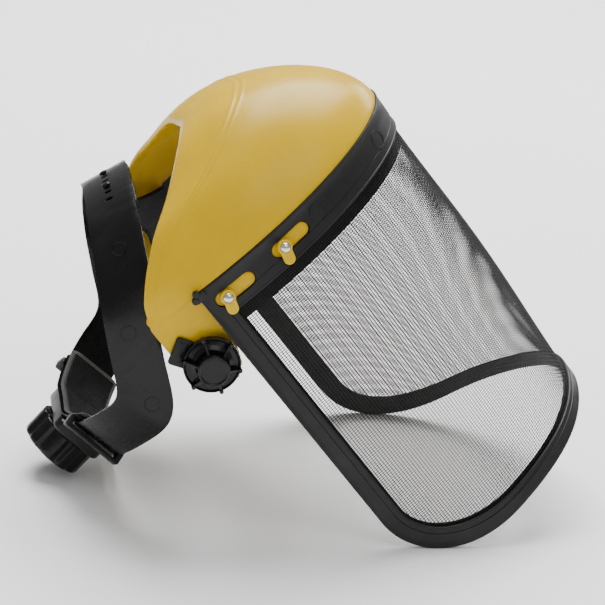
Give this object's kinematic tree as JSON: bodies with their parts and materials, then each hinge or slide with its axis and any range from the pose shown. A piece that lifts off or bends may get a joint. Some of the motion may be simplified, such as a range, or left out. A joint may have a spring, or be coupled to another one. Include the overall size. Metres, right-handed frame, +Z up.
{
  "type": "face shield",
  "caption": "Hinged yellow brow guard with a curved black wire-mesh visor, worn on a strap headgear with side tilt knobs and a rear ratchet knob.",
  "frame": {"origin": "bottom centre of the bounding box, on the floor that the shield rests on", "axes": "+Z up; +Y from the ratchet knob towards the visor's front; +X towards the wearer's right. The shield lies on the two lower corners of its visor and on its ratchet knob"},
  "size_m": [0.2216, 0.3398, 0.2594],
  "materials": {
    "guard_yellow": "glossy moulded plastic",
    "frame_black": "satin moulded plastic",
    "mesh_black": "fine black woven mesh",
    "steel": "bright plated steel",
    "pad_grey": "soft ribbed pad",
    "foam_black": "soft foam band",
    "hub_grey": "grey moulded plastic",
    "knob_black": "glossy moulded plastic",
    "strap_black": "smooth flexible moulded plastic"
  },
  "bodies": {
    "headgear": {"crown_peg_left": "strap_black", "crown_peg_right": "strap_black", "forehead_band": "strap_black", "nape_pad": "pad_grey", "nape_plate": "strap_black", "pivot_bolt_left": "steel", "pivot_bolt_right": "steel", "pivot_spacer_left": "strap_black", "pivot_spacer_right": "strap_black", "ratchet_cover": "strap_black", "ratchet_detent": "hub_grey", "side_strap_left": "strap_black", "side_strap_right": "strap_black", "sweatband": "foam_black"},
    "brow": {"brow_guard": "guard_yellow", "pivot_plate_left": "strap_black", "pivot_plate_right": "strap_black", "rivet_left_front": "steel", "rivet_left_rear": "steel", "rivet_right_front": "steel", "rivet_right_rear": "steel", "visor_frame": "frame_black", "visor_mesh": "mesh_black", "visor_retainer": "frame_black"},
    "body_rack_left": {"rack_left": "strap_black"},
    "body_rack_right": {"rack_right": "strap_black"},
    "ratchet_wheel": {"ratchet_knob": "knob_black", "ratchet_pinion": "hub_grey"},
    "body_tilt_knob_left": {"tilt_knob_left": "knob_black"},
    "body_tilt_knob_right": {"tilt_knob_right": "knob_black"},
    "body_turn_tab_left_front": {"turn_tab_left_front": "guard_yellow"},
    "body_turn_tab_left_rear": {"turn_tab_left_rear": "guard_yellow"},
    "body_turn_tab_right_front": {"turn_tab_right_front": "guard_yellow"},
    "body_turn_tab_right_rear": {"turn_tab_right_rear": "guard_yellow"}
  },
  "joints": [
    {"name": "brow_tilt", "type": "hinge", "parent": "headgear", "child": "brow", "pos_m": [0, -0.07362, 0.10864], "axis": [1, 0, 0], "range_deg": [-15, 75]},
    {"name": "tab_right_front", "type": "hinge", "parent": "brow", "child": "body_turn_tab_right_front", "pos_m": [0.093, -0.0377, 0.17784], "axis": [0.965, 0.1965, 0.174], "range_deg": [0, 110]},
    {"name": "tab_right_rear", "type": "hinge", "parent": "brow", "child": "body_turn_tab_right_rear", "pos_m": [0.09978, -0.06796, 0.14971], "axis": [0.9981, 0.0466, 0.0413], "range_deg": [0, 110]},
    {"name": "knob_right", "type": "hinge", "parent": "headgear", "child": "body_tilt_knob_right", "pos_m": [0.0963, -0.07362, 0.10864], "axis": [1, 0, 0], "continuous": true},
    {"name": "tab_left_front", "type": "hinge", "parent": "brow", "child": "body_turn_tab_left_front", "pos_m": [-0.093, -0.0377, 0.17784], "axis": [0.965, -0.1965, -0.174], "range_deg": [0, 110]},
    {"name": "tab_left_rear", "type": "hinge", "parent": "brow", "child": "body_turn_tab_left_rear", "pos_m": [-0.09978, -0.06796, 0.14971], "axis": [0.9981, -0.0466, -0.0413], "range_deg": [0, 110]},
    {"name": "knob_left", "type": "hinge", "parent": "headgear", "child": "body_tilt_knob_left", "pos_m": [-0.0963, -0.07362, 0.10864], "axis": [1, 0, 0], "continuous": true},
    {"name": "ratchet_turn", "type": "hinge", "parent": "headgear", "child": "ratchet_wheel", "pos_m": [0, -0.13842, 0.03204], "axis": [0, -0.6358, -0.7719], "range_deg": [-90, 90]},
    {"name": "rack_slide_left", "type": "slide", "parent": "headgear", "child": "body_rack_left", "axis": [1, 0, 0], "range_m": [-0.008, 0.008]},
    {"name": "rack_slide_right", "type": "slide", "parent": "headgear", "child": "body_rack_right", "axis": [1, 0, 0], "range_m": [-0.008, 0.008]}
  ],
  "couplings": [
    {"joint": "rack_slide_left", "follows": "ratchet_turn", "m_per_rad": 0.0049975},
    {"joint": "rack_slide_right", "follows": "ratchet_turn", "m_per_rad": -0.0049975}
  ]
}
